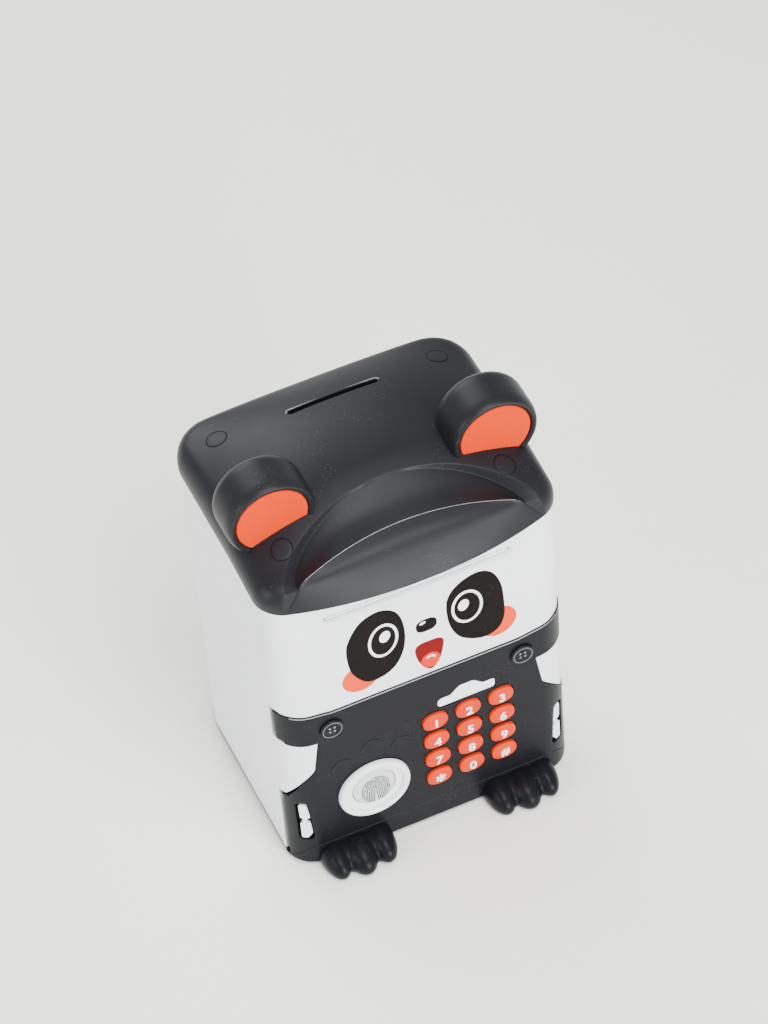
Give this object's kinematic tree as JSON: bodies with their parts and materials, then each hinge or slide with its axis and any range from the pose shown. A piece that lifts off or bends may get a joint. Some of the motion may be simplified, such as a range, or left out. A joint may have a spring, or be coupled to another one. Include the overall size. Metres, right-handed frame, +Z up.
{
  "type": "toy atm savings bank",
  "caption": "Toy cash machine money box shaped as a panda: keypad door, fingerprint pad, note slot with feed rollers, coin slot, domed lid with ears and peak.",
  "frame": {"origin": "centre of the object's bounding box, on the floor under the feet", "axes": "+Z up, front of the bank with its door towards -Y, +X to the object's left hand side as seen from behind, the viewer's right from the front"},
  "size_m": [0.1358, 0.1214, 0.2101],
  "materials": {
    "base_screw_left": "zinc plated",
    "base_screw_right": "zinc plated",
    "base_tray": "satin gloss charcoal",
    "battery_1": "satin orange",
    "battery_2": "satin orange",
    "battery_3": "satin orange",
    "battery_box": "dark grey",
    "battery_cover": "satin gloss charcoal",
    "body_shell": "smooth white",
    "clasp_left": "smooth white",
    "clasp_right": "smooth white",
    "coin_chute": "dark grey",
    "door_back_cover": "dark grey",
    "door_hinge_pin": "zinc plated",
    "door_panel": "satin gloss charcoal",
    "drive_gear": "natural nylon",
    "drive_roller": "black rubber",
    "drive_shaft": "zinc plated",
    "ear_inset_left": "satin orange",
    "ear_inset_right": "satin orange",
    "ear_left": "satin gloss charcoal",
    "ear_right": "satin gloss charcoal",
    "feed_motor": "zinc plated",
    "feeder_frame": "dark grey",
    "fingerprint_pad": "light grey",
    "foot_left": "satin gloss charcoal",
    "foot_right": "satin gloss charcoal",
    "idler_roller": "black rubber",
    "idler_shaft": "zinc plated",
    "indicator_lens": "smooth white",
    "key_0": "satin orange",
    "key_1": "satin orange",
    "key_2": "satin orange",
    "key_3": "satin orange",
    "key_4": "satin orange",
    "key_5": "satin orange",
    "key_6": "satin orange",
    "key_7": "satin orange",
    "key_8": "satin orange",
    "key_9": "satin orange",
    "key_hash": "satin orange",
    "key_mat": "black rubber",
    "key_star": "satin orange",
    "keypad_board": "green circuit board",
    "latch_keeper": "zinc plated",
    "lid_screw_back_left": "satin gloss charcoal",
    "lid_screw_back_right": "satin gloss charcoal",
    "lid_screw_front_left": "satin gloss charcoal",
    "lid_screw_front_right": "satin gloss charcoal",
    "lock_bolt": "zinc plated",
    "lock_housing": "dark grey",
    "main_board": "green circuit board",
    "motor_pinion": "brass",
    "pad_ring": "smooth white",
    "rear_pad_left": "black rubber",
    "rear_pad_right": "black rubber",
    "speaker": "zinc plated",
    "strap_button_left": "satin gloss charcoal",
    "strap_button_right": "satin gloss charcoal",
    "top_lid": "satin gloss charcoal"
  },
  "bodies": {
    "case": {"base_screw_left": "base_screw_left", "base_screw_right": "base_screw_right", "base_tray": "base_tray", "battery_1": "battery_1", "battery_2": "battery_2", "battery_3": "battery_3", "battery_box": "battery_box", "body_shell": "body_shell", "coin_chute": "coin_chute", "door_hinge_pin": "door_hinge_pin", "ear_inset_left": "ear_inset_left", "ear_inset_right": "ear_inset_right", "ear_left": "ear_left", "ear_right": "ear_right", "feed_motor": "feed_motor", "feeder_frame": "feeder_frame", "foot_left": "foot_left", "foot_right": "foot_right", "latch_keeper": "latch_keeper", "lid_screw_back_left": "lid_screw_back_left", "lid_screw_back_right": "lid_screw_back_right", "lid_screw_front_left": "lid_screw_front_left", "lid_screw_front_right": "lid_screw_front_right", "main_board": "main_board", "rear_pad_left": "rear_pad_left", "rear_pad_right": "rear_pad_right", "speaker": "speaker", "top_lid": "top_lid"},
    "door": {"door_panel": "door_panel", "door_back_cover": "door_back_cover", "strap_button_left": "strap_button_left", "strap_button_right": "strap_button_right", "indicator_lens": "indicator_lens", "clasp_left": "clasp_left", "clasp_right": "clasp_right", "key_mat": "key_mat", "keypad_board": "keypad_board", "pad_ring": "pad_ring", "lock_housing": "lock_housing"},
    "fingerprint_pad": {"fingerprint_pad": "fingerprint_pad"},
    "lock_bolt": {"lock_bolt": "lock_bolt"},
    "drive_roller": {"drive_shaft": "drive_shaft", "drive_roller": "drive_roller", "drive_gear": "drive_gear"},
    "idler_roller": {"idler_shaft": "idler_shaft", "idler_roller": "idler_roller"},
    "motor_pinion": {"motor_pinion": "motor_pinion"},
    "battery_cover": {"battery_cover": "battery_cover"},
    "key_0": {"key_0": "key_0"},
    "key_1": {"key_1": "key_1"},
    "key_2": {"key_2": "key_2"},
    "key_3": {"key_3": "key_3"},
    "key_4": {"key_4": "key_4"},
    "key_5": {"key_5": "key_5"},
    "key_6": {"key_6": "key_6"},
    "key_7": {"key_7": "key_7"},
    "key_8": {"key_8": "key_8"},
    "key_9": {"key_9": "key_9"},
    "key_hash": {"key_hash": "key_hash"},
    "key_star": {"key_star": "key_star"}
  },
  "joints": [
    {"name": "door_hinge", "type": "hinge", "parent": "case", "child": "door", "pos_m": [-0.06194, -0.03492, 0.003], "axis": [0, 0, 1], "range_deg": [-100, 0]},
    {"name": "key_1_press", "type": "slide", "parent": "door", "child": "key_1", "axis": [0, 1, 0], "range_m": [0, 0.0012], "stiffness_N_per_m": 400, "springref_m": -0.0003},
    {"name": "key_2_press", "type": "slide", "parent": "door", "child": "key_2", "axis": [0, 1, 0], "range_m": [0, 0.0012], "stiffness_N_per_m": 400, "springref_m": -0.0003},
    {"name": "key_3_press", "type": "slide", "parent": "door", "child": "key_3", "axis": [0, 1, 0], "range_m": [0, 0.0012], "stiffness_N_per_m": 400, "springref_m": -0.0003},
    {"name": "key_4_press", "type": "slide", "parent": "door", "child": "key_4", "axis": [0, 1, 0], "range_m": [0, 0.0012], "stiffness_N_per_m": 400, "springref_m": -0.0003},
    {"name": "key_5_press", "type": "slide", "parent": "door", "child": "key_5", "axis": [0, 1, 0], "range_m": [0, 0.0012], "stiffness_N_per_m": 400, "springref_m": -0.0003},
    {"name": "key_6_press", "type": "slide", "parent": "door", "child": "key_6", "axis": [0, 1, 0], "range_m": [0, 0.0012], "stiffness_N_per_m": 400, "springref_m": -0.0003},
    {"name": "key_7_press", "type": "slide", "parent": "door", "child": "key_7", "axis": [0, 1, 0], "range_m": [0, 0.0012], "stiffness_N_per_m": 400, "springref_m": -0.0003},
    {"name": "key_8_press", "type": "slide", "parent": "door", "child": "key_8", "axis": [0, 1, 0], "range_m": [0, 0.0012], "stiffness_N_per_m": 400, "springref_m": -0.0003},
    {"name": "key_9_press", "type": "slide", "parent": "door", "child": "key_9", "axis": [0, 1, 0], "range_m": [0, 0.0012], "stiffness_N_per_m": 400, "springref_m": -0.0003},
    {"name": "key_star_press", "type": "slide", "parent": "door", "child": "key_star", "axis": [0, 1, 0], "range_m": [0, 0.0012], "stiffness_N_per_m": 400, "springref_m": -0.0003},
    {"name": "key_0_press", "type": "slide", "parent": "door", "child": "key_0", "axis": [0, 1, 0], "range_m": [0, 0.0012], "stiffness_N_per_m": 400, "springref_m": -0.0003},
    {"name": "key_hash_press", "type": "slide", "parent": "door", "child": "key_hash", "axis": [0, 1, 0], "range_m": [0, 0.0012], "stiffness_N_per_m": 400, "springref_m": -0.0003},
    {"name": "fingerprint_pad_press", "type": "slide", "parent": "door", "child": "fingerprint_pad", "axis": [0, 1, 0], "range_m": [0, 0.001], "stiffness_N_per_m": 400, "springref_m": -0.0003},
    {"name": "lock_bolt_slide", "type": "slide", "parent": "door", "child": "lock_bolt", "axis": [1, 0, 0], "range_m": [0, 0.0065]},
    {"name": "drive_roller_spin", "type": "hinge", "parent": "case", "child": "drive_roller", "pos_m": [0, -0.02485, 0.14605], "axis": [1, 0, 0], "continuous": true},
    {"name": "idler_roller_spin", "type": "hinge", "parent": "case", "child": "idler_roller", "pos_m": [0, -0.02485, 0.15555], "axis": [1, 0, 0], "continuous": true},
    {"name": "motor_pinion_spin", "type": "hinge", "parent": "case", "child": "motor_pinion", "pos_m": [0.0434, -0.01584, 0.14085], "axis": [1, 0, 0], "continuous": true},
    {"name": "battery_cover_slide", "type": "slide", "parent": "case", "child": "battery_cover", "axis": [0, 1, 0], "range_m": [0, 0.05]}
  ],
  "couplings": [
    {"joint": "idler_roller_spin", "follows": "drive_roller_spin", "ratio": -1.875},
    {"joint": "motor_pinion_spin", "follows": "drive_roller_spin", "ratio": -2.4}
  ]
}
